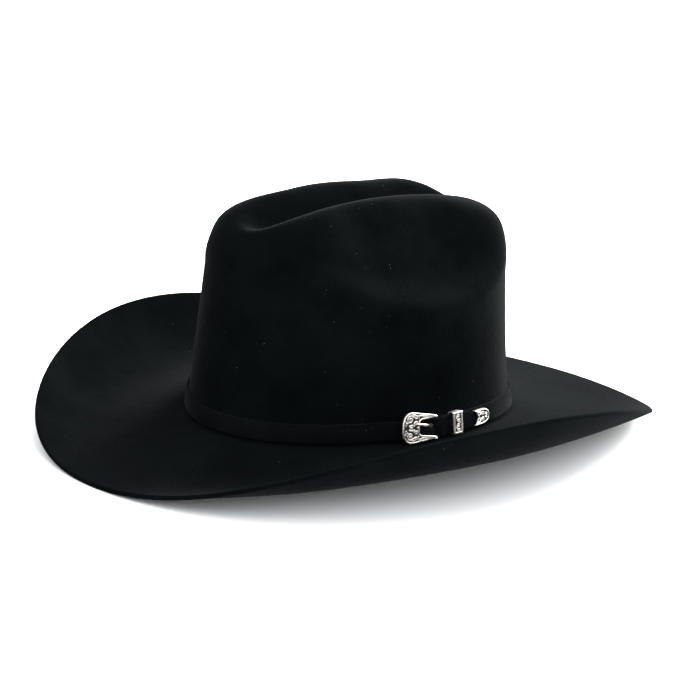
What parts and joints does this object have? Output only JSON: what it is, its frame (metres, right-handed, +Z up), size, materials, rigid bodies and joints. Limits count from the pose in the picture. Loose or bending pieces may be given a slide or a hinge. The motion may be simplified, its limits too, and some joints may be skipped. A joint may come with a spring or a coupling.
{
  "type": "western felt hat",
  "caption": "Black felt Western hat with a creased crown, rolled brim, felt band with an engraved silver buckle set, leather sweatband and satin lining.",
  "frame": {"origin": "on the table under the middle of the hat's outline, as it stands on the front and back of its brim", "axes": "+Z up, the front of the hat faces -Y, the wearer's left is +X"},
  "size_m": [0.3432, 0.394, 0.1459],
  "materials": {
    "black_felt": "brushed fur felt, raw edge",
    "band_felt": "felt strap, cut edges",
    "black_thread": "waxed thread",
    "antique_silver": "antiqued silver plate with scroll engraving",
    "silver_wire": "plain drawn wire",
    "sweat_leather": "smooth roan leather",
    "tan_thread": "sewing thread",
    "reed_plastic": "extruded plastic rod",
    "woven_tape": "woven cotton tape",
    "ribbon": "grosgrain ribbon",
    "satin": "satin lining"
  },
  "bodies": {
    "root": {"felt_body": "black_felt", "band_strap": "band_felt", "band_tacks": "black_thread", "strap_tip": "antique_silver", "tip_rivets": "silver_wire", "fold_stitches": "black_thread", "sweatband": "sweat_leather", "sweatband_stitches": "tan_thread", "sweatband_reed": "reed_plastic", "reed_tape": "woven_tape", "sweatband_bow": "ribbon", "back_seam": "tan_thread", "liner_side": "satin", "liner_tip": "satin", "liner_piping": "ribbon"},
    "buckle": {"buckle_frame": "antique_silver", "buckle_bar": "silver_wire"},
    "prong": {"buckle_prong": "antique_silver"},
    "keeper": {"keeper_loop": "antique_silver"}
  },
  "joints": [
    {"name": "buckle_lift", "type": "hinge", "parent": "root", "child": "buckle", "pos_m": [0.0878, -0.01939, 0.02482], "axis": [-0.1126, 0.0252, 0.9933], "range_deg": [0, 12]},
    {"name": "prong_lift", "type": "hinge", "parent": "buckle", "child": "prong", "pos_m": [0.0878, -0.01939, 0.02482], "axis": [-0.1126, 0.0252, 0.9933], "range_deg": [0, 10]},
    {"name": "keeper_slide", "type": "slide", "parent": "root", "child": "keeper", "axis": [0.0115, 0.9999, 0], "range_m": [-0.003, 0.003]}
  ]
}
